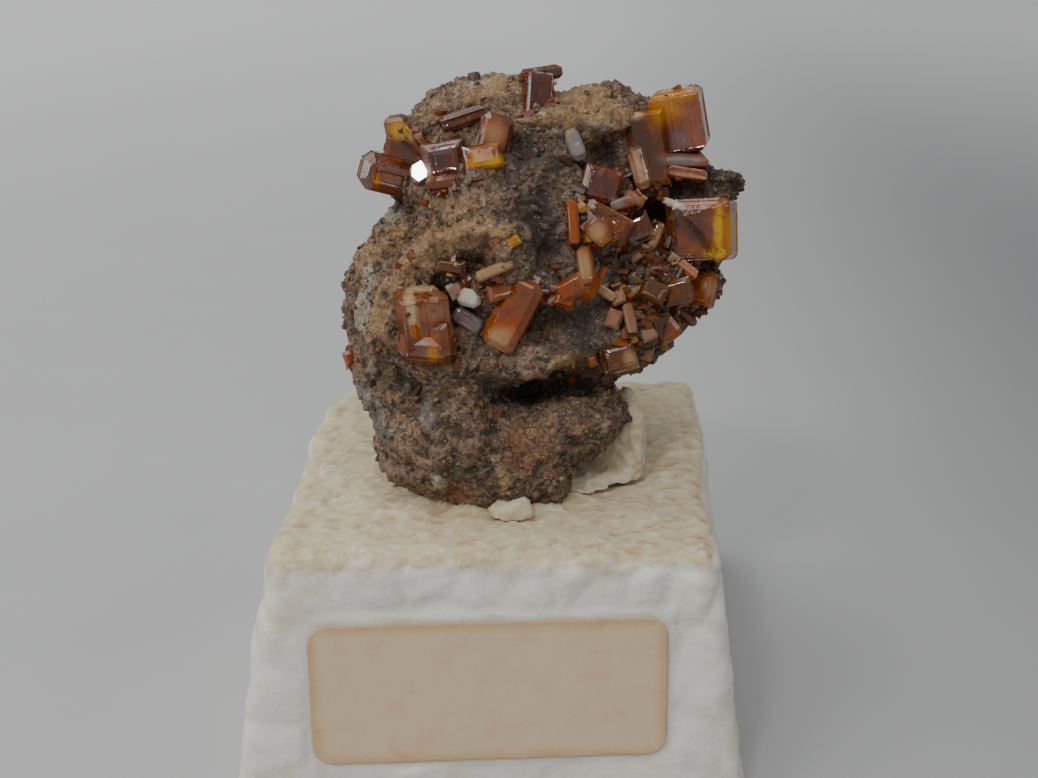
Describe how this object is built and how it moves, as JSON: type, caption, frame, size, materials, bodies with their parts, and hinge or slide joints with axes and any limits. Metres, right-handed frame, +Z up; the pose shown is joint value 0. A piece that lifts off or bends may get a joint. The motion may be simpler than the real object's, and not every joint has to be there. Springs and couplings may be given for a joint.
{
  "type": "wulfenite on matrix",
  "caption": "Amber tabular wulfenite crystals on a lump of brown matrix, its foot glued into a small tapered foam block with a blank paper label.",
  "frame": {"origin": "middle of the foam block's underside", "axes": "+Z up, the label's face looks along -Y, +X to the right as the label is read"},
  "size_m": [0.0328, 0.0321, 0.0408],
  "materials": {
    "foam": "fused foam beads, yellowed, knife-cut on top",
    "paper": "aged cream paper with browned edges",
    "matrix": "rough rusty brown rock with grey and tan patches",
    "wulfenite": "clear amber to red-brown crystal, bright flat faces",
    "glue": "dried cream adhesive and torn foam"
  },
  "bodies": {
    "root": {"foam_block": "foam", "glue_front": "glue", "glue_rim": "glue", "matrix": "matrix", "paper_label": "paper", "wulfenite_amber_right": "wulfenite", "wulfenite_blade_under_ledge": "wulfenite", "wulfenite_brown_left": "wulfenite", "wulfenite_brown_lower_pair": "wulfenite", "wulfenite_brown_right_pair": "wulfenite", "wulfenite_centre_pair": "wulfenite", "wulfenite_crevice_crystal": "wulfenite", "wulfenite_dome_chip": "wulfenite", "wulfenite_knob_blade": "wulfenite", "wulfenite_knob_orange": "wulfenite", "wulfenite_left_cluster": "wulfenite", "wulfenite_left_edge": "wulfenite", "wulfenite_lilac_plate": "wulfenite", "wulfenite_long_blade_group": "wulfenite", "wulfenite_lower_left_cluster": "wulfenite", "wulfenite_lower_pair": "wulfenite", "wulfenite_maroon_block_group": "wulfenite", "wulfenite_maroon_plate": "wulfenite", "wulfenite_orange_streak": "wulfenite", "wulfenite_pink_pair": "wulfenite", "wulfenite_right_block": "wulfenite", "wulfenite_small_pink": "wulfenite", "wulfenite_small_tan": "wulfenite", "wulfenite_top_flake": "wulfenite", "wulfenite_underside_pair": "wulfenite", "wulfenite_upper_blade": "wulfenite", "wulfenite_upper_right_cluster": "wulfenite", "wulfenite_white_facet_pair": "wulfenite"}
  },
  "joints": []
}
